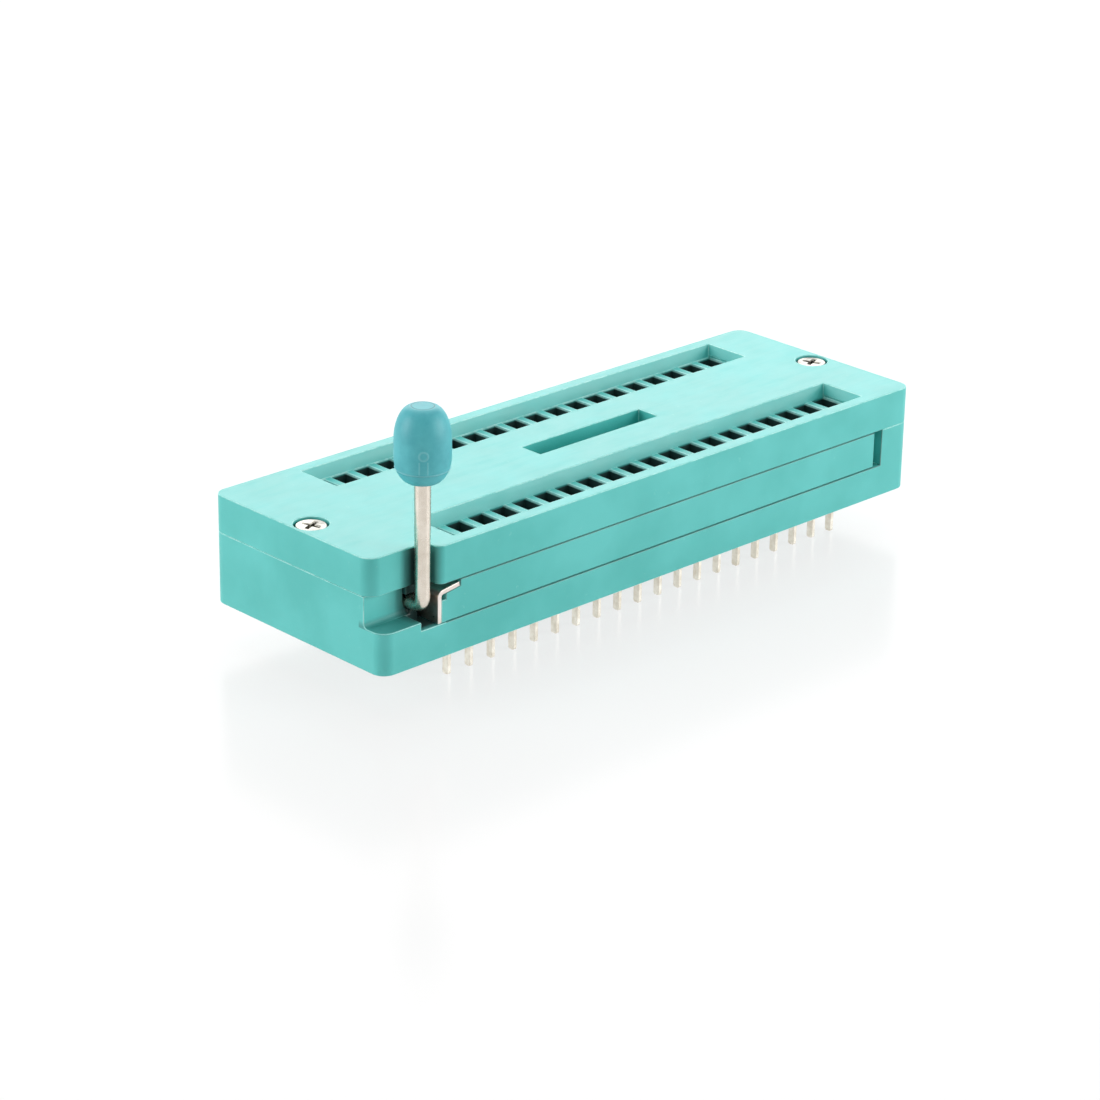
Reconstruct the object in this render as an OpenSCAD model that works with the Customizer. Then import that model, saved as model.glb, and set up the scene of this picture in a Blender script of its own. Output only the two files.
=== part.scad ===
// Lever-operated zero-insertion-force socket for a wide dual-in-line chip.
// The origin is the centre of the body's outline on the base's underside, which seats on the board.
// +X runs along the body away from the lever, -Y is the lever's side, +Z points up off the board.

/* [Body] */
// Width of the moulded body
body_w = 21.9; // [21.8:0.1:24]
// Radius of the body's upright corners
corner_r = 1.25; // [1:0.05:1.6]
// Length of the base's near end block
near_block_l = 4.24; // [4.2:0.02:4.26]
// Length of the base's far end block
far_block_l = 3.9; // [3.6:0.1:5]
// Thickness of the base under the slider
slab_t = 3.05; // [2.9:0.05:3.1]
// Thickness of the slider
slider_t = 3.36; // [3.3:0.02:3.5]
// Thickness of the cover
cover_t = 3.42; // [3.2:0.02:4]
// Running gap below and above the slider
slide_gap = 0.06; // [0.04:0.01:0.1]

/* [Contacts] */
// Distance from one contact to the next along a row
pitch = 2.54; // [2.54:0.01:2.56]
// Distance between the two rows of contacts
row_span = 15.24; // [15.1:0.02:15.3]
// Thickness of a contact's strip
strip_t = 0.25; // [0.2:0.01:0.25]
// Width of a contact's tines
tine_w = 1.6; // [1.2:0.1:1.7]
// Clear gap between the straight legs of a contact's two tines
tine_gap = 0.68; // [0.66:0.01:0.7]
// Height of the tine tips above the board
tine_top = 7.45; // [7.3:0.05:8]
// Thickness of a board tail along the row
tail_t = 0.35; // [0.3:0.01:0.4]
// Width of a board tail across the row
tail_w = 0.7; // [0.6:0.05:0.8]
// Length of a board tail below the base
tail_l = 3.65; // [2.8:0.05:4.5]

/* [Slider and its motion] */
// Travel of the slider from open to closed
travel = 0.65; // [0.6:0.01:0.7]
// Clearance left at the slider's far end with the lever folded down
stop_gap = 0.35; // [0.2:0.05:0.6]
// Plastic left between the slider's last windows and its far end
slider_end = 1.35; // [1:0.05:2]
// Thickness of the steel cam plate
plate_t = 0.4; // [0.3:0.05:0.4]
// Length of the cam plate's flange on top of the slider
flange_l = 2.05; // [1.6:0.05:2.2]
// Rise of the flange towards its free end, in degrees
flange_tilt = 8; // [4:1:9]
// Outer radius of the cam plate's bend
plate_bend = 0.6; // [0.5:0.05:0.7]

/* [Lever] */
// Distance from the body's near end to the lever's axle
axle_inset = 5; // [4.98:0.02:5.1]
// Height of the lever's axle above the board
axle_z = 4.82; // [4.8:0.02:4.9]
// Diameter of the lever's axle and of its bend
axle_d = 1.3; // [1.2:0.05:1.35]
// Diameter of the lever's rod under the knob
rod_d = 1.45; // [1.35:0.05:1.5]
// Distance of the rod's centre inside the body's side
rod_inset = 0.75; // [0.7:0.05:0.85]
// Radius of the lever's bend at the rod's centre line
bend_r = 0.85; // [0.8:0.05:1.2]
// Radius of the cam where it rests on the plate with the lever up
cam_r = 1.05; // [1:0.01:1.1]

/* [Knob] */
// Diameter of the knob
knob_d = 4.74; // [4:0.02:5.4]
// Height of the knob
knob_h = 6.55; // [5.8:0.05:8]
// Height of the knob's lower end above the axle
knob_rise = 10.98; // [10:0.02:14]
// Diameter of the knob's flat ends
knob_flat_d = 1.85; // [1.7:0.05:2.4]

/* [Grooves] */
// Width of a groove at the bottom, across the row
groove_w = 3.85; // [3.6:0.05:3.9]
// Offset of a groove's middle inwards from the row of contacts
groove_in = 0.25; // [0.1:0.05:0.4]
// Depth of the grooves in the cover's top
groove_d = 1.17; // [0.8:0.01:1.4]
// How far a groove's walls lean outwards over its depth
groove_lean = 0.45; // [0.2:0.05:0.5]
// Width of a contact hole along the row
hole_w = 1.575; // [1.5:0.025:1.7]
// Chamfer on the long edges of the ribs between the holes
rib_chamfer = 0.13; // [0.05:0.01:0.2]
// Length of the slot in the middle of the cover
slot_l = 14.6; // [10:0.1:16]
// Width of the slot in the middle of the cover
slot_w = 2.4; // [1.6:0.1:3]
// Centre of the slot along the body
slot_x = 1.8; // [1:0.1:2.5]

/* [Screws] */
// Distance of each screw from the body's end
screw_inset = 1.75; // [1.75:0.05:1.8]
// Diameter of a screw's head
head_d = 2.7; // [2.4:0.05:2.75]
// Thickness of a screw's head
head_t = 0.9; // [0.7:0.05:1.2]
// Diameter of a screw's shank
shank_d = 1.6; // [1.4:0.05:1.7]
// Length of a screw's shank
shank_l = 6.6; // [5:0.1:7]

/* [Hidden] */
$fn = 48;
per_row = 20;
function contact_name(n) = str("contact_", n < 9 ? "0" : "", n + 1);
CONTACT_NODES = [for (n = [0 : 2 * per_row - 1]) contact_name(n)];

teal = [0.37, 0.74, 0.71];
knob_teal = [0.25, 0.62, 0.64];
nickel = [0.8, 0.77, 0.72];
tin = [0.83, 0.8, 0.74];

over = 0.5;                  // how far a cut runs past the face that it opens
fit_gap = 0.03;              // clearance of pieces that are seated in each other
run_gap = 0.05;              // clearance of pieces that turn or slide past each other

cam_gap = 0.03;              // clearance of the cam at the plate
flange_wall = 0.22;          // plastic between the flange's seat and the first windows
tine_x = tine_gap / 2 + strip_t / 2;        // centre line of a straight tine
tine_out = tine_gap / 2 + strip_t;
web_x = tine_out + fit_gap;                 // a web's near face, measured from the contact before it
web_t = pitch - 2 * web_x - travel;         // webs just clear the tines with the slider at either end
window_l = pitch - web_t;

// The body's length follows from what stands along it, counted from the near end.
plate_inset = axle_inset + cam_r + cam_gap;
flange_inset = plate_inset + plate_t + flange_l;        // the flange's free end
first_inset = flange_inset + run_gap + flange_wall + window_l - web_x;
row_l = per_row * pitch;
slider_inset = first_inset + row_l - pitch + web_x + slider_end;
body_l = slider_inset + travel + stop_gap + far_block_l;
half_l = body_l / 2;
half_w = body_w / 2;
rows_x = first_inset - half_l + (per_row - 1) / 2 * pitch;
slider_z = slab_t + slide_gap;
slider_top = slider_z + slider_t;
cover_z = slider_top + slide_gap;
body_h = cover_z + cover_t;
side_gap = 0.02;             // how far the slider's sides lie inside the body's

axle_x = axle_inset - half_l;
rod_y = rod_inset - half_w;
axle_r = axle_d / 2;
plate_x = plate_inset - half_l;
slider_x0 = plate_x + plate_t;
near_x = near_block_l - half_l;             // face of the base's near end block
far_x = half_l - far_block_l;               // face of the base's far end block
slider_x1 = slider_inset - half_l;

row_y = row_span / 2;
function contact_x(i) = rows_x + (i - (per_row - 1) / 2) * pitch;

window_w = tine_w + 0.4;
seat_z = 1;                                 // floor on which a contact stands in the base
hole_y0 = row_y - groove_in - groove_w / 2;
hole_y1 = row_y - groove_in + groove_w / 2 - 0.1;
groove_z = body_h - groove_d;

setback_y = -half_w + 1.65;                 // side of the cover where the lever folds down beside it
step_x = plate_x + 0.12;                    // where the cover returns to its full width
ledge_z = 3.8;                              // ledge that the folded lever lies over
recess_y = -half_w + 2.35;                  // back wall of the base's recess at the lever
cheek_x = plate_x + 0.97;                   // end of the base's cheek round the axle's far end
cheek_y = half_w - 2.2;
cradle_w = 1.3;
cradle_y = rod_y + bend_r + 0.4;            // front face of the cradle under the axle
axle_end = half_w - 1.1;
cam_side = 0.2;                             // clearance at the cam's two sides
cam_y0 = cradle_y + cradle_w + cam_side;
cam_y1 = cheek_y - cam_side;

plate_end = 0.1;                            // clearance at the cam plate's far end
flange_x1 = flange_inset - half_l;
flange_drop = 0.17;                         // depth of the flange's free end below the slider's top
bend_x = plate_x + plate_bend;              // centre of the plate's bend
bend_z = slider_top - flange_drop - plate_bend / cos(flange_tilt)
    - tan(flange_tilt) * (flange_x1 - bend_x);
flange_in = plate_bend - plate_t;           // inner radius of the bend
function flange_z(x) = bend_z + flange_in / cos(flange_tilt) + tan(flange_tilt) * (x - bend_x);

post_l = 5;
post_w = 2.4;
post_xs = [slot_x - slot_l / 2 - 7, slot_x + slot_l / 2 + 7];
screw_xs = [screw_inset - half_l, half_l - screw_inset];
head_z = body_h - 0.15;                     // top of the screw heads

// A box given by its lowest and highest corners.
module span(lo, hi) {
    translate(lo) cube(hi - lo);
}

// What is cut away to round the corner of a plate that fills the quadrant x > 0, y > 0.
module corner_cut(r) {
    difference() {
        translate([-over, -over]) square(r + over);
        translate([r, r]) circle(r);
    }
}

module rounded_outline() {
    difference() {
        square([body_l, body_w], center = true);
        for (sx = [-1, 1], sy = [-1, 1])
            scale([sx, sy]) translate([-half_l, -half_w]) corner_cut(corner_r);
    }
}

// Extrudes a profile drawn in XZ along Y, from y0 to y1.
module along_y(y0, y1) {
    translate([0, y1, 0]) rotate([90, 0, 0]) linear_extrude(y1 - y0) children();
}

// Extrudes a profile drawn in YZ along X, from x0 to x1.
module along_x(x0, x1) {
    translate([x0, 0, 0]) rotate([90, 0, 90]) linear_extrude(x1 - x0) children();
}

module at_contacts() {
    for (side = [-1, 1], i = [0 : per_row - 1])
        translate([contact_x(i), side * row_y, 0]) children();
}

// Base: a slab with two end blocks. It seats the contacts, guides the slider and carries the axle.
module contact_chamber() {
    play_x = 0.08;
    play_y = 0.12;
    span([-tine_out - play_x, -tine_w / 2 - play_y, seat_z],
         [tine_out + play_x, tine_w / 2 + play_y, slab_t + over]);
    span([-tail_t / 2 - fit_gap, -tail_w / 2 - fit_gap, -over],
         [tail_t / 2 + fit_gap, tail_w / 2 + fit_gap, seat_z + over]);
}

module guide_post() {
    translate([0, 0, slab_t - over]) linear_extrude(cover_z - slab_t + over) {
        square([post_l - post_w, post_w], center = true);
        for (s = [-1, 1]) translate([s * (post_l - post_w) / 2, 0]) circle(post_w / 2);
    }
}

module lever_recess() {
    wall_r = 0.4;
    floor_y = recess_y - wall_r;
    span([-half_l - over, -half_w - over, ledge_z + wall_r], [near_x + over, recess_y, cover_z + over]);
    span([-half_l - over, -half_w - over, ledge_z], [near_x + over, floor_y, ledge_z + wall_r + over]);
    translate([-half_l - over, floor_y, ledge_z + wall_r]) rotate([0, 90, 0])
        cylinder(r = wall_r, h = near_x + half_l + 2 * over);
}

module base() {
    pockets = 4;
    pocket_pitch = row_l / pockets;
    pocket_l = pocket_pitch - 1.3;
    pocket_w = row_span - 5.2;
    cradle_x1 = axle_x + axle_r - 0.05;
    cam_relief = 0.25;
    thread_gap = 0.3;
    color(teal) difference() {
        union() {
            linear_extrude(slab_t) rounded_outline();
            intersection() {
                linear_extrude(cover_z) rounded_outline();
                union() {
                    span([-half_l, -half_w, 0], [near_x, half_w, cover_z]);
                    span([far_x, -half_w, 0], [half_l, half_w, cover_z]);
                    span([near_x - over, cheek_y, 0], [cheek_x, half_w, cover_z]);
                    span([near_x - over, cradle_y, 0], [cradle_x1, cradle_y + cradle_w, axle_z]);
                }
            }
            for (x = post_xs) translate([x, 0, 0]) guide_post();
        }
        lever_recess();
        // the axle's saddle in the cradle and in the cheek, open to the top
        translate([axle_x, axle_end + run_gap, axle_z]) rotate([90, 0, 0])
            cylinder(r = axle_r + run_gap, h = axle_end - cradle_y + over);
        span([axle_x - axle_r - run_gap, cheek_y - over, axle_z],
             [axle_x + axle_r + run_gap, axle_end + run_gap, cover_z + over]);
        // shallow relief under the cam's nose
        span([near_x, cam_y0 - cam_side / 2, slab_t - cam_relief], [plate_x - run_gap, cam_y1, slab_t + over]);
        at_contacts() contact_chamber();
        for (x = screw_xs)
            translate([x, 0, head_z - head_t - shank_l - thread_gap]) cylinder(d = shank_d, h = body_h);
        // core pockets in the underside, between the rows
        for (k = [0 : pockets - 1]) translate([(k - (pockets - 1) / 2) * pocket_pitch, 0, 0])
            span([-pocket_l / 2, -pocket_w / 2, -over], [pocket_l / 2, pocket_w / 2, slab_t / 2]);
    }
}

// Slider: a full-width plate whose webs press the contacts' tines when the lever folds down.
module slider_window() {
    span([-pitch + web_x + web_t, -window_w / 2, slider_z - over],
         [web_x, window_w / 2, slider_top + over]);
}

module slider() {
    seat_x1 = flange_x1 + run_gap;
    cores = 3;
    core_pitch = row_l / cores;
    core_l = core_pitch - 2.2;
    core_w = 3.2;
    core_y = 3.6;
    relief = 0.5;
    color(teal) difference() {
        span([slider_x0, side_gap - half_w, slider_z], [slider_x1, half_w - side_gap, slider_top]);
        at_contacts() slider_window();
        // sloping seat of the cam plate's flange, with a relief under its bend
        along_y(-half_w, cheek_y)
            polygon([[slider_x0 - over, flange_z(slider_x0 - over)], [seat_x1, flange_z(seat_x1)],
                     [seat_x1, slider_top + over], [slider_x0 - over, slider_top + over]]);
        span([slider_x0 - over, -half_w, flange_z(slider_x0) - relief],
             [slider_x0 + relief, cheek_y, slider_top]);
        // notch round the base's cheek
        span([slider_x0 - over, cheek_y - run_gap, slider_z - over],
             [cheek_x + run_gap, half_w + over, slider_top + over]);
        // slots for the base's guide posts
        for (x = post_xs) translate([x - travel / 2, 0, slider_z - over])
            linear_extrude(slider_t + 2 * over) {
                square([post_l - post_w + travel, post_w + 2 * run_gap], center = true);
                for (s = [-1, 1]) translate([s * (post_l - post_w + travel) / 2, 0])
                    circle(post_w / 2 + run_gap);
            }
        // core pockets in the underside, beside the guide slots
        for (k = [0 : cores - 1], side = [-1, 1])
            translate([rows_x + (k - (cores - 1) / 2) * core_pitch, side * core_y, 0])
                span([-core_l / 2, -core_w / 2, slider_z - over],
                     [core_l / 2, core_w / 2, slider_z + slider_t * 0.6]);
    }
}

// Cam plate: bent spring steel that takes the cam's wear in place of the plastic.
module cam_plate() {
    reach = 3 * plate_bend;                 // past the bend on all sides
    lap = 0.01;                             // by which the flange runs into the bend
    color(nickel) along_y(side_gap - half_w, cheek_y - plate_end) {
        translate([plate_x, slider_z]) square([plate_t, bend_z - slider_z]);
        translate([bend_x, bend_z]) {
            difference() {
                intersection() {
                    circle(plate_bend);
                    polygon([[0, 0], [-reach * sin(flange_tilt), reach * cos(flange_tilt)],
                             [-reach, reach], [-reach, 0]]);
                }
                circle(flange_in);
            }
            rotate(flange_tilt) translate([-lap, flange_in])
                square([(flange_x1 - bend_x) / cos(flange_tilt) + lap, plate_t]);
        }
    }
}

// Lever: one steel rod, bent to an axle that carries the flattened cam.
// Straight up, the cam's nose points down; folded towards -X, it points along +X at the plate.
cam_rise = travel / 90;                     // push per degree of the lever
cam_steps = 12;
function cam_point(a) =
    let (h = cam_r + cam_rise * a, dh = cam_rise * 180 / PI)
    [h * cos(a) - dh * sin(a), -h * sin(a) - dh * cos(a)];
cam_back_r = axle_r + 0.06;
cam_nose = cam_point(90);
heel_angle = 180 - atan2(-cam_nose[1], -cam_nose[0]) + acos(cam_back_r / norm(cam_nose));
heel = cam_back_r * [cos(heel_angle), -sin(heel_angle)];    // where the flank meets the round back
brow_angle = acos(cam_back_r / cam_r);
brow = cam_back_r * [cos(brow_angle), sin(brow_angle)];
cam_lobe = concat([[0, 0], brow, [cam_r, 0]], [for (k = [0 : cam_steps]) cam_point(90 * k / cam_steps)], [heel]);

module lever() {
    rod_z = axle_z + bend_r;
    rod_top = axle_z + knob_rise + knob_h * 0.7;
    color(nickel) translate([axle_x, 0, 0]) {
        translate([0, rod_y, rod_z]) cylinder(r1 = axle_r, r2 = rod_d / 2, h = rod_top - rod_z);
        translate([0, rod_y + bend_r, rod_z]) rotate([0, 90, 0]) rotate([0, 0, 270])
            rotate_extrude(angle = 90) translate([bend_r, 0]) circle(axle_r);
        translate([0, axle_end, axle_z]) rotate([90, 0, 0])
            cylinder(r = axle_r, h = axle_end - rod_y - bend_r);
        along_y(cam_y0, cam_y1) translate([0, axle_z]) {
            circle(cam_back_r);
            polygon(cam_lobe);
        }
    }
}

// Knob: a moulded barrel pressed on the rod, with its parting line low on the side.
knob_steps = 10;
knob_r = knob_d / 2;
flat_r = knob_flat_d / 2;
waist_z = knob_h * 0.35;                    // where the lower curve meets the widest band
brow_z = knob_h * 0.56;                     // where the upper curve leaves it
seam_z = knob_h * 0.19;
seam_h = 0.12;
seam_proud = 0.04;
lower_curve = [for (k = [0 : knob_steps])
    let (a = 90 * k / knob_steps) [flat_r + (knob_r - flat_r) * sin(a), waist_z * (1 - cos(a))]];
upper_curve = [for (k = [0 : knob_steps])
    let (a = 90 * k / knob_steps)
    [flat_r + (knob_r - flat_r) * cos(a), brow_z + (knob_h - brow_z) * sin(a)]];
function lower_radius(z) =
    flat_r + (knob_r - flat_r) * sin(acos(1 - z / waist_z));

module knob() {
    seam_r = lower_radius(seam_z + seam_h / 2) + seam_proud;
    color(knob_teal) translate([axle_x, rod_y, axle_z + knob_rise]) difference() {
        union() {
            rotate_extrude() polygon(concat([[0, 0]], lower_curve, upper_curve, [[0, knob_h]]));
            translate([0, 0, seam_z]) cylinder(r = seam_r, h = seam_h);
        }
        translate([0, 0, -axle_z - knob_rise]) intersection() {
            translate([0, 0, axle_z + bend_r])
                cylinder(r1 = axle_r, r2 = rod_d / 2, h = knob_rise + knob_h * 0.7 - bend_r);
            cylinder(r = rod_d, h = 2 * (axle_z + knob_rise + knob_h));
        }
    }
}

// Cover: two grooves lead a chip's legs through the holes to the open contacts.
module groove() {
    lean = groove_lean * (1 + over / groove_d);
    top = body_h + over;
    x0 = rows_x - row_l / 2 + (pitch - hole_w) / 2;
    x1 = rows_x + row_l / 2 - (pitch - hole_w) / 2;
    y1 = hole_y0 + groove_w;
    intersection() {
        along_x(x0 - 2 * lean, x1 + 2 * lean)
            polygon([[hole_y0, groove_z], [y1, groove_z], [y1 + lean, top], [hole_y0 - lean, top]]);
        along_y(hole_y0 - 2 * lean, y1 + 2 * lean)
            polygon([[x0, groove_z], [x1, groove_z], [x1 + lean, top], [x0 - lean, top]]);
    }
}

module contact_hole() {
    w = hole_w / 2;
    c = rib_chamfer;
    along_y(hole_y0, hole_y1)
        polygon([[-w, cover_z - over], [w, cover_z - over], [w, groove_z - c], [w + c, groove_z],
                 [w + c, groove_z + 0.2], [-w - c, groove_z + 0.2], [-w - c, groove_z], [-w, groove_z - c]]);
}

module cover_outline() {
    step_r = 0.7;
    difference() {
        rounded_outline();
        translate([-half_l - over, -half_w - over])
            square([step_x + half_l + over, setback_y + half_w + over]);
        translate([-half_l, setback_y]) corner_cut(corner_r);
        translate([step_x, -half_w]) corner_cut(step_r);
    }
}

module cover() {
    lug_w = 1;
    color(teal) difference() {
        union() {
            translate([0, 0, cover_z]) linear_extrude(cover_t) cover_outline();
            // lugs that hold the axle down in its saddles
            for (y = [cradle_y + (cradle_w - lug_w) / 2, cheek_y + 0.1])
                span([axle_x - axle_r + run_gap, y, axle_z + axle_r + run_gap],
                     [axle_x + axle_r - run_gap, y + lug_w, cover_z + over]);
        }
        for (side = [0, 1]) mirror([0, side, 0]) {
            groove();
            for (i = [0 : per_row - 1]) translate([contact_x(i), 0, 0]) contact_hole();
        }
        span([slot_x - slot_l / 2, 0.2 - slot_w / 2, cover_z - over],
             [slot_x + slot_l / 2, 0.2 + slot_w / 2, body_h + over]);
        for (x = screw_xs) {
            translate([x, 0, cover_z - over]) cylinder(d = shank_d + 0.3, h = cover_t + 2 * over);
            translate([x, 0, head_z - head_t]) cylinder(d = head_d + 0.35, h = head_t + over);
        }
    }
}

// Screws: one at each end, driven through the cover into the base's end blocks.
module screw(x) {
    cross_l = head_d * 0.62;
    cross_w = 0.34;
    cross_d = head_t * 0.7;
    color(nickel) translate([x, 0, head_z]) difference() {
        union() {
            translate([0, 0, -head_t]) cylinder(d = head_d, h = head_t);
            translate([0, 0, -head_t - shank_l]) cylinder(d = shank_d, h = shank_l + head_t / 2);
        }
        for (turn = [20, 110]) rotate([0, 0, turn])
            span([-cross_l / 2, -cross_w / 2, -cross_d], [cross_l / 2, cross_w / 2, over]);
    }
}

// Contact: a strip folded into two tines that stand in the slider's window, with a tail for the board.
module contact_piece() {
    straight_z = 6;
    pinch_z = 6.75;
    pinch_x = tine_x - 0.065;
    flare_x = tine_x + 0.135;
    path = [[tine_x, seat_z + strip_t], [tine_x, straight_z], [pinch_x, pinch_z], [flare_x, tine_top]];
    t = strip_t / 2;
    tip = 0.12;
    along_y(-tine_w / 2, tine_w / 2)
        polygon(concat([[-tine_out, seat_z], [tine_out, seat_z]],
                       [for (k = [1 : 3]) [path[k][0] + t, path[k][1]]],
                       [for (k = [3 : -1 : 0]) [path[k][0] - t, path[k][1]]],
                       [for (k = [0 : 3]) [t - path[k][0], path[k][1]]],
                       [for (k = [3 : -1 : 1]) [-path[k][0] - t, path[k][1]]]));
    along_x(-tail_t / 2, tail_t / 2)
        polygon([[-tail_w / 2 + tip, -tail_l], [tail_w / 2 - tip, -tail_l], [tail_w / 2, tip - tail_l],
                 [tail_w / 2, seat_z + strip_t / 2], [-tail_w / 2, seat_z + strip_t / 2],
                 [-tail_w / 2, tip - tail_l]]);
}

module contact(n) {
    color(tin) translate([contact_x(n % per_row), n < per_row ? -row_y : row_y, 0]) contact_piece();
}

base();
slider();
cam_plate();
lever();
knob();
cover();
screw(screw_xs[0]);  // screw_front
screw(screw_xs[1]);  // screw_rear
for (n = [0 : 2 * per_row - 1])
    contact(n);
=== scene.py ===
import math

import bmesh
import bpy
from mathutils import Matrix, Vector


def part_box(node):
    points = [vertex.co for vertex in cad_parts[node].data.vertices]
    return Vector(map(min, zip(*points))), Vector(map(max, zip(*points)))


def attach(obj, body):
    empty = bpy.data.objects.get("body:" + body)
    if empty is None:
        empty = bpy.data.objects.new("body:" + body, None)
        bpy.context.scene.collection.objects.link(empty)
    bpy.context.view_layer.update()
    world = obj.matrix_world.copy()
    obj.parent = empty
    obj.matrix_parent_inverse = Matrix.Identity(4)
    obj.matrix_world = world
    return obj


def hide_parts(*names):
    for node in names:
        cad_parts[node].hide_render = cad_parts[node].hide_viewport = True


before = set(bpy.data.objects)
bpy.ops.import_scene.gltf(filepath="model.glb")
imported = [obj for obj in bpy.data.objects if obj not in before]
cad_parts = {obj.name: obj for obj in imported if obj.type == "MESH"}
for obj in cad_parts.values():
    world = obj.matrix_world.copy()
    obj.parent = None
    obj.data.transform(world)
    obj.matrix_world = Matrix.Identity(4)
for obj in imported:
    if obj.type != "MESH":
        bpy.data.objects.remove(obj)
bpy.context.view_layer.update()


# Base: the lower half of the body, injection moulded in teal plastic. It is a slab with two end
# blocks: the contacts are pressed into its chambers, and the lever turns in its saddles.
class Link:
    """A shader output that Python's operators act on; an expression adds its Math nodes."""

    def __init__(self, finish, socket):
        self.finish, self.socket = finish, socket

    def maths(self, operation, *values):
        return self.finish.maths(operation, *values)

    def __add__(self, other):
        return self.maths("ADD", self, other)

    def __radd__(self, other):
        return self.maths("ADD", other, self)

    def __sub__(self, other):
        return self.maths("SUBTRACT", self, other)

    def __rsub__(self, other):
        return self.maths("SUBTRACT", other, self)

    def __mul__(self, other):
        return self.maths("MULTIPLY", self, other)

    def __rmul__(self, other):
        return self.maths("MULTIPLY", other, self)

    def __gt__(self, other):
        return self.maths("GREATER_THAN", self, other)

    def __lt__(self, other):
        return self.maths("LESS_THAN", self, other)

    def __abs__(self):
        return self.maths("ABSOLUTE", self)


class Finish:
    """A material, or the world given to it, built node by node; surface() closes a material
    with one Principled shader."""

    def __init__(self, name, world=None):
        self.material = world or bpy.data.materials.new(name)
        self.material.use_nodes = True
        self.tree = self.material.node_tree
        self.tree.nodes.clear()

    def node(self, kind, settings=None, values=None, output=0):
        made = self.tree.nodes.new(kind)
        for key, value in (settings or {}).items():
            setattr(made, key, value)
        for key, value in (values or {}).items():
            if isinstance(value, Link):
                self.tree.links.new(value.socket, made.inputs[key])
            else:
                made.inputs[key].default_value = value
        return Link(self, made.outputs[output]) if made.outputs else None

    def maths(self, operation, *values):
        return self.node("ShaderNodeMath", {"operation": operation}, dict(enumerate(values)))

    def place(self, stretch=(1, 1, 1)):
        here = self.node("ShaderNodeTexCoord", output="Object")
        return self.node("ShaderNodeMapping", {}, {"Vector": here, "Scale": stretch})

    def axes(self):
        """The place on the piece as three numbers, in metres."""
        here = self.node("ShaderNodeTexCoord", output="Object")
        return [self.node("ShaderNodeSeparateXYZ", {}, {0: here}, axis) for axis in range(3)]

    def noise(self, place, size, detail=2.0, roughness=0.5):
        values = {"Vector": place, "Scale": 1 / size, "Detail": detail, "Roughness": roughness}
        return self.node("ShaderNodeTexNoise", {}, values)

    def blend(self, share, first, second):
        values = {0: share, 6: first, 7: second}
        return self.node("ShaderNodeMix", {"data_type": "RGBA"}, values, output=2)

    def between(self, value, low, high):
        """0 where value is at low and 1 where it is at high, held beyond both."""
        values = {"Value": value, "From Min": low, "From Max": high}
        return self.node("ShaderNodeMapRange", {}, values)

    def bump(self, height, depth):
        return self.node("ShaderNodeBump", {}, {"Height": height, "Distance": depth})

    def surface(self, **values):
        values = {key.replace("_", " ").title(): value for key, value in values.items()}
        shader = self.node("ShaderNodeBsdfPrincipled", {}, values)
        self.node("ShaderNodeOutputMaterial", {}, {"Surface": shader})
        return self.material


def screen(red, green, blue):
    """A colour written in the 0 to 255 steps of a screen, as linear light."""
    steps = [value / 255 for value in (red, green, blue)]
    light = [step / 12.92 if step <= 0.04045 else ((step + 0.055) / 1.055) ** 2.4 for step in steps]
    return (*light, 1.0)


def solid_copy(node, edge=0.00007, sharp=38, edge_slot=0):
    """A merged copy of a CAD node's mesh, its flat faces joined up and its edges slightly rounded.
    The rounded edges take the material in edge_slot."""
    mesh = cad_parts[node].data.copy()
    shape = bmesh.new()
    shape.from_mesh(mesh)
    bmesh.ops.remove_doubles(shape, verts=shape.verts, dist=1e-6)
    bmesh.ops.dissolve_limit(
        shape, angle_limit=math.radians(0.5), verts=shape.verts, edges=shape.edges)
    shape.to_mesh(mesh)
    shape.free()
    piece = bpy.data.objects.new(node + "_piece", mesh)
    bpy.context.scene.collection.objects.link(piece)
    mesh.shade_smooth()
    mesh.set_sharp_from_angle(angle=math.radians(sharp))
    rounding = piece.modifiers.new("edges", "BEVEL")
    rounding.width, rounding.segments, rounding.limit_method = edge, 2, "ANGLE"
    rounding.angle_limit = math.radians(sharp)
    rounding.use_clamp_overlap, rounding.material = False, edge_slot
    flat = piece.modifiers.new("flat_faces", "WEIGHTED_NORMAL")
    flat.weight, flat.keep_sharp = 100, True
    return piece


def fit(piece, materials, body, slot, *nodes):
    """Gives a piece its finishes and lets it stand for its CAD nodes."""
    piece.data.materials.clear()
    for material in materials:
        piece.data.materials.append(material)
    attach(piece, body)
    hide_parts(*nodes)


def hollow_shade(finish):
    """1 inside the contact holes and in the well round the lever's foot, where shade is painted.
    Little light comes back from either, so painted shade makes them darker than the plastic round
    them."""
    row_inside, row_outside = 0.00543, 0.00921
    first_hole, last_hole = -0.0236, 0.0267
    groove_floor, shade_depth, holes_end = 0.00876, 0.00022, 0.0031
    well_start, well_full_from, well_full_to, well_end = -0.0293, -0.0280, -0.0266, -0.0260
    well_mouth, well_inside, well_back = -0.0109, -0.0103, 0.0086
    well_floor, well_top = 0.0028, 0.0098
    x, y, z = finish.axes()
    side = abs(y)
    holes = (finish.between(z, groove_floor, groove_floor - shade_depth) * (z > holes_end)
             * (side > row_inside) * (side < row_outside) * (x > first_hole) * (x < last_hole))
    well = (finish.between(x, well_start, well_full_from)
            * finish.between(x, well_end, well_full_to)
            * finish.between(y, well_mouth, well_inside) * (y < well_back)
            * (z < well_top) * (z > well_floor))
    return finish.maths("MAXIMUM", holes, well)


# painted shade for the contact holes and the lever's well
hollow_shade_colour = screen(7, 31, 29)


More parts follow.
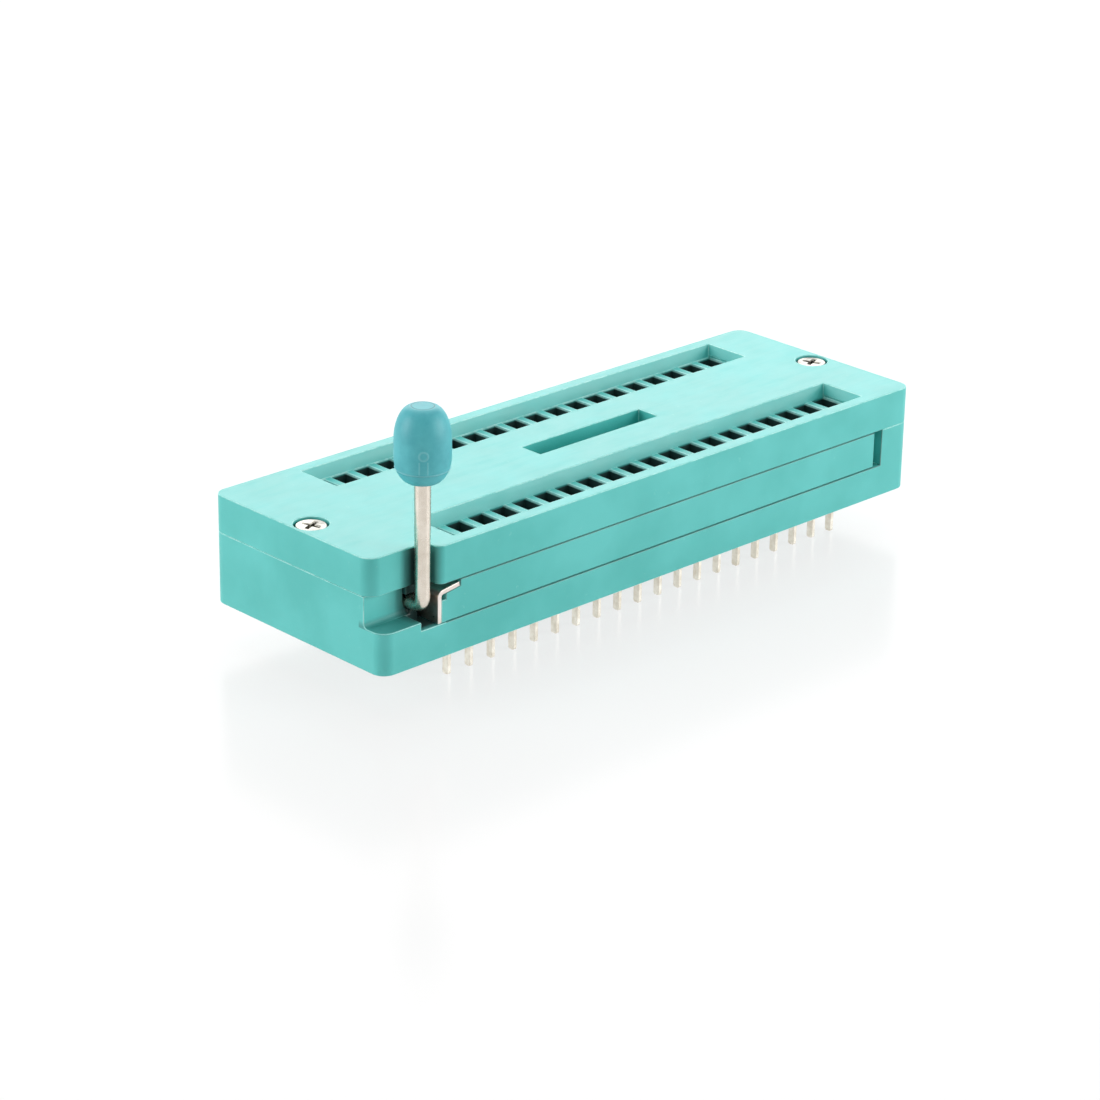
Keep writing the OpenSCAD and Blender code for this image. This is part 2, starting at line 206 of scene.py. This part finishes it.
def moulded_teal():
    """Teal plastic, uneven where it flowed and set, with pale specks, fine scratches and painted
    shade in its hollows and on the ledge.
    """
    ledge_end, ledge_side = -0.0283, -0.0080
    ledge_low, ledge_full, ledge_high = 0.0037, 0.0039, 0.0044
    finish = Finish("teal_plastic")
    place = finish.place()
    x, y, z = finish.axes()
    deep_shade = hollow_shade(finish)
    flow = finish.noise(place, 0.007, 3)
    speck = finish.noise(place, 0.0007, 4, 0.7)
    colour = finish.blend(
        finish.between(flow, 0.36, 0.64), screen(84, 195, 189), screen(98, 207, 202))
    colour = finish.blend(finish.between(speck, 0.66, 0.78) * 0.35, colour, screen(150, 226, 218))
    # painted shade on the ledge that the folded lever lies over, darker than the faces round it
    ledge_shade = ((x < ledge_end) * (y < ledge_side) * (z > ledge_low)
             * finish.between(z, ledge_high, ledge_full))
    colour = finish.blend(0.5 * ledge_shade, colour, screen(20, 90, 84))
    # painted shade in the contact holes and in the well round the lever's foot
    colour = finish.blend(0.95 * deep_shade, colour, hollow_shade_colour)
    scratch = finish.noise(finish.place((1, 6, 6)), 0.004, 5, 0.7)
    grain = finish.noise(place, 0.00018, 2, 0.6)
    sheen = 0.3 + 0.16 * flow + 0.1 * finish.between(scratch, 0.45, 0.7) + 0.3 * deep_shade
    return finish.surface(base_color=colour, roughness=sheen,
                          normal=finish.bump(grain + 1.5 * speck, 0.000005))


def teal_edge_highlights():
    """Painted highlights on the mould's rounded edges, paler than the faces between them, and
    painted shade where the slider's long sides run against its neighbours."""
    slider_near, slider_far, slider_side = -0.0256, 0.0288, 0.0106
    slider_low, slider_high = 0.0029, 0.0068
    finish = Finish("teal_edge")
    edge_noise = finish.noise(finish.place(), 0.0011, 4, 0.7)
    x, y, z = finish.axes()
    seam = ((abs(y) > slider_side) * (z > slider_low) * (z < slider_high)
            * (x > slider_near) * (x < slider_far))
    colour = finish.blend(
        finish.between(edge_noise, 0.35, 0.6), screen(112, 212, 205), screen(172, 238, 232))
    # painted shade in the gaps along the slider's long sides
    colour = finish.blend(seam * (0.6 + 0.3 * edge_noise), colour, screen(28, 104, 99))
    # the edges in the holes and the well take the same painted shade
    return finish.surface(
        base_color=finish.blend(0.95 * hollow_shade(finish), colour, hollow_shade_colour),
        roughness=0.22 + 0.2 * edge_noise, normal=finish.bump(edge_noise, 0.000008))


teal = moulded_teal(), teal_edge_highlights()
base = solid_copy("base", edge_slot=1)
fit(base, teal, "socket_body", "body_plastic", "base")

# Contacts: two rows of twenty strips, stamped from tinned spring alloy and folded into two tines.
# One strip is drawn and repeated along both rows; each is pressed into its chamber in the base.
row_names = sorted(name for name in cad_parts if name.startswith("contact_"))
per_row = len(row_names) // 2
first_low, first_high = (Vector(corner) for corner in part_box(row_names[0]))
last_low, last_high = (Vector(corner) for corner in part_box(row_names[per_row - 1]))
first_strip = (first_low + first_high) / 2
pitch = ((last_low + last_high) / 2 - first_strip).x / (per_row - 1)

tin_finish = Finish("tin_plate")
dull = tin_finish.noise(tin_finish.place(), 0.0009, 4, 0.6)
drawn = tin_finish.noise(tin_finish.place((1, 1, 0.1)), 0.00012, 2)
tin_colour = tin_finish.blend(
    tin_finish.between(dull, 0.35, 0.65), screen(222, 214, 198), screen(246, 241, 230))
tin = tin_finish.surface(
    base_color=tin_colour, metallic=1.0, roughness=0.3 + 0.2 * dull,
    normal=tin_finish.bump(drawn, 0.0000002))


def rows_tree():
    """Geometry nodes that repeat a strip along one row, and that row at both sides."""
    tree = bpy.data.node_groups.new("contact_rows", "GeometryNodeTree")
    tree.interface.new_socket("Geometry", in_out="OUTPUT", socket_type="NodeSocketGeometry")
    for name, kind in (("Strip", "Geometry"), ("Per Row", "Int"), ("Pitch", "Float"),
                       ("Row Span", "Float"), ("Finish", "Material")):
        tree.interface.new_socket(name, in_out="INPUT", socket_type="NodeSocket" + kind)
    given, done = tree.nodes.new("NodeGroupInput"), tree.nodes.new("NodeGroupOutput")
    step, across = (tree.nodes.new("ShaderNodeCombineXYZ") for _ in range(2))
    row, rows = (tree.nodes.new("GeometryNodeMeshLine") for _ in range(2))
    rows.inputs["Count"].default_value = 2
    strips, both = (tree.nodes.new("GeometryNodeInstanceOnPoints") for _ in range(2))
    realize = tree.nodes.new("GeometryNodeRealizeInstances")
    finish = tree.nodes.new("GeometryNodeSetMaterial")
    for start, end in (
            (given.outputs["Pitch"], step.inputs["X"]),
            (step.outputs[0], row.inputs["Offset"]),
            (given.outputs["Per Row"], row.inputs["Count"]),
            (given.outputs["Row Span"], across.inputs["Y"]),
            (across.outputs[0], rows.inputs["Offset"]),
            (row.outputs[0], strips.inputs["Points"]),
            (given.outputs["Strip"], strips.inputs["Instance"]),
            (rows.outputs[0], both.inputs["Points"]),
            (strips.outputs[0], both.inputs["Instance"]),
            (both.outputs[0], realize.inputs[0]),
            (realize.outputs[0], finish.inputs["Geometry"]),
            (given.outputs["Finish"], finish.inputs["Material"]),
            (finish.outputs[0], done.inputs[0])):
        tree.links.new(start, end)
    return tree


strip = solid_copy(row_names[0], edge=0.00003)
rows = strip.modifiers.new("rows", "NODES")
rows.node_group = rows_tree()
sockets = {item.name: item.identifier for item in rows.node_group.interface.items_tree
           if item.in_out == "INPUT"}
rows[sockets["Per Row"]] = per_row
rows[sockets["Pitch"]] = pitch
rows[sockets["Row Span"]] = -2 * first_strip.y
rows[sockets["Finish"]] = tin
bpy.context.view_layer.update()
made = strip.evaluated_get(bpy.context.evaluated_depsgraph_get())
contact_mesh = bpy.data.meshes.new_from_object(made)
strip.modifiers.clear()
strip.data, strip.name = contact_mesh, "contacts"
fit(strip, (tin,), "socket_body", "contact_tin", *row_names)

# Slider: a full-width moulded plate between base and cover. Its webs press the tines when the
# lever folds down, and it runs on two posts of the base.
slider = solid_copy("slider", edge_slot=1)
fit(slider, teal, "slider_plate", "body_plastic", "slider")


# Cam plate: a strip of bright spring steel, bent over the slider's near edge. It takes the cam's
# wear, and its flange springs up a little off the slider.
def plated(name, pale, dark, roughness, stretch):
    """A plated metal, clouded a little, with fine lines where it was drawn along the stretch."""
    finish = Finish(name)
    cloud = finish.noise(finish.place(), 0.0014, 4, 0.6)
    drawn = finish.noise(finish.place(stretch), 0.00015, 3)
    return finish.surface(
        base_color=finish.blend(finish.between(cloud, 0.3, 0.7), dark, pale), metallic=1.0,
        roughness=roughness + 0.12 * cloud + 0.1 * drawn, normal=finish.bump(drawn, 0.0000002))


spring_steel = plated(
    "spring_steel", screen(240, 232, 226), screen(206, 192, 182), 0.2, (1, 0.08, 1))
cam_plate = solid_copy("cam_plate", edge=0.00004, sharp=30)
fit(cam_plate, (spring_steel,), "slider_plate", "spring_steel", "cam_plate")

# Lever: one nickel-plated steel rod, bent at its foot into the axle that carries the cam.
nickel = plated("nickel_plate", screen(232, 224, 212), screen(212, 202, 188), 0.16, (1, 1, 0.06))
lever = solid_copy("lever", edge=0.00003, sharp=30)
fit(lever, (nickel,), "lever_arm", "nickel_steel", "lever")


# Knob: a barrel of softer blue-green plastic, moulded on the rod. It shows a parting line low down
# and a round gate mark on one side, with two witness lines under it.
def moulded_knob():
    """The knob's plastic, with the marks that its mould left."""
    gate_rise, gate_reach, gate_r, gate_width = 0.00305, 0.00236, 0.00036, 0.00013
    witness_side, witness_width, witness_reach = 0.00034, 0.00009, 0.0018
    witness_top, witness_foot = 0.0005, 0.0014
    disc_r, disc_width, disc_depth = 0.00094, 0.00008, 0.0004
    seam_rise, seam_half, seam_fade = 0.0013, 0.00005, 0.0001
    low, high = (Vector(corner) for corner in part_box("knob"))
    middle = (low + high) / 2
    gate_z = low.z + gate_rise
    toward = Vector((-0.644, -0.765, 0)).normalized()
    gate = Vector((middle.x, middle.y, gate_z)) + toward * gate_reach
    finish = Finish("knob_plastic")
    place = finish.place()
    x, y, z = finish.axes()
    from_gate = finish.node(
        "ShaderNodeVectorMath", {"operation": "DISTANCE"}, {0: place, 1: tuple(gate)}, "Value")
    ring = 1 - finish.between(abs(from_gate - gate_r), 0.0, gate_width)
    across = abs((x - gate.x) * toward.y - (y - gate.y) * toward.x)
    witness = ((1 - finish.between(abs(across - witness_side), 0.0, witness_width))
               * (z < gate_z - witness_top) * (z > low.z + witness_foot)
               * (from_gate < witness_reach))
    # the turned disc on top, and the parting line where the two halves of the mould met
    from_axis = finish.maths(
        "SQRT", (x - middle.x) * (x - middle.x) + (y - middle.y) * (y - middle.y))
    disc = ((1 - finish.between(abs(from_axis - disc_r), 0.0, disc_width))
            * (z > high.z - disc_depth))
    seam = 1 - finish.between(abs(z - low.z - seam_rise), seam_half, seam_fade)
    cloud = finish.noise(place, 0.002, 4, 0.6)
    colour = finish.blend(
        finish.between(cloud, 0.35, 0.65), screen(72, 174, 184), screen(88, 190, 198))
    colour = finish.blend(0.35 * (ring + witness), colour, screen(160, 228, 232))
    colour = finish.blend(0.55 * seam, colour, screen(160, 228, 232))
    colour = finish.blend(0.7 * disc, colour, screen(30, 104, 116))
    grain = finish.noise(place, 0.0003, 3, 0.6)
    return finish.surface(base_color=colour, roughness=0.4 + 0.15 * cloud,
                          normal=finish.bump(grain * 0.35 + ring + 0.6 * witness - disc, 0.00003))


knob = solid_copy("knob", edge=0.00006, sharp=20)
fit(knob, (moulded_knob(),), "lever_arm", "knob_plastic", "knob")

# Cover: the moulded top, with two grooves that lead a chip's legs into forty holes, a slot between
# them and lugs underneath that hold the axle down. It is held by the two screws.
cover = solid_copy("cover", edge_slot=1)
fit(cover, teal, "socket_body", "body_plastic", "cover")

# Screws: two bright plated pan heads with a cross recess, turned down flush with the cover.
bright_plate = plated("bright_plate", screen(190, 187, 178), screen(92, 90, 84), 0.16, (1, 1, 1))
for end in ("screw_front", "screw_rear"):
    screw = solid_copy(end, edge=0.00009, sharp=30)
    fit(screw, (bright_plate,), "socket_body", "screw_steel", end)

# Table: a white glossy sheet that keeps a soft shadow and a faint reflection of the socket.
half_size, glow_share, tail_gap = 2.0, 0.74, 0.00001
floor_z = first_low.z - tail_gap
sheet = bpy.data.meshes.new("table")
sheet.from_pydata(
    [(x * half_size, y * half_size, floor_z) for x, y in ((-1, -1), (1, -1), (1, 1), (-1, 1))],
    [], [(0, 1, 2, 3)])
table = bpy.data.objects.new("table", sheet)
bpy.context.scene.collection.objects.link(table)
white = Finish("table_white")


def looked_at(finish):
    """1 for rays from the camera, gloss or glass, and 0 for light that only fills the scene."""
    path = [finish.node("ShaderNodeLightPath", output=name)
            for name in ("Is Camera Ray", "Is Glossy Ray", "Is Transmission Ray")]
    return path[0].maths("MAXIMUM", path[0], path[1].maths("MAXIMUM", path[1], path[2]))


sheet_colour = (0.74, 0.735, 0.725, 1)
gloss = white.node("ShaderNodeBsdfPrincipled", {}, {"Base Color": sheet_colour, "Roughness": 0.2})
glow = white.node("ShaderNodeEmission", {}, {"Color": (1, 1, 1, 1), "Strength": 1.05})
glowing = glow_share * looked_at(white)
lit = white.node("ShaderNodeMixShader", {}, {0: glowing, 1: gloss, 2: glow})
# from below the sheet is clear, so that the socket's underside shows
clear = white.node("ShaderNodeBsdfTransparent")
under = white.node("ShaderNodeNewGeometry", output="Backfacing")
mixed = white.node("ShaderNodeMixShader", {}, {0: under, 1: lit, 2: clear})
white.node("ShaderNodeOutputMaterial", {}, {"Surface": mixed})
sheet.materials.append(white.material)

# Studio: white surroundings, one softbox overhead, one low behind and one at each side.
world = bpy.data.worlds.new("studio")
bpy.context.scene.world = world
sky = Finish("studio", world)
fill_level = 0.24
level = fill_level + (1 - fill_level) * looked_at(sky)
backdrop = sky.node("ShaderNodeBackground", {}, {"Color": (1, 1, 1, 1), "Strength": level})
sky.node("ShaderNodeOutputWorld", {}, {"Surface": backdrop})


def softbox(name, direction, distance, width, height, brightness):
    """An area lamp aimed at the socket; a brightness of 1 is a white surface."""
    lamp = bpy.data.lights.new(name, "AREA")
    lamp.shape, lamp.size, lamp.size_y = "RECTANGLE", width, height
    lamp.energy = brightness * math.pi * width * height
    holder = bpy.data.objects.new(name, lamp)
    bpy.context.scene.collection.objects.link(holder)
    toward = Vector(direction).normalized()
    holder.location = toward * distance
    holder.rotation_euler = toward.to_track_quat("Z", "Y").to_euler()
    holder.visible_camera = False


softbox("overhead", (0.25, 0.3, 1), 0.5, 0.5, 0.4, 1.5)
softbox("behind", (0.64, 0.66, 0.45), 0.6, 0.7, 0.35, 2.4)
softbox("left", (-0.8, 0.42, 0.3), 0.5, 0.3, 0.3, 4.9)
softbox("right", (0.59, -0.81, 0.25), 0.5, 0.3, 0.3, 5.7)

# Camera: a long lens held at arm's length over the lever's corner.
camera = bpy.data.objects.new("camera", bpy.data.cameras.new("camera"))
bpy.context.scene.collection.objects.link(camera)
camera.data.sensor_width, camera.data.lens, camera.data.clip_start = 36, 111.3177, 0.01
camera.location = (-0.19860366, -0.20109489, 0.11636525)
camera.rotation_euler = tuple(math.radians(angle) for angle in (67.44474, -0.91989, -43.79710))
bpy.context.scene.camera = camera
bpy.context.scene.view_settings.view_transform = "Standard"
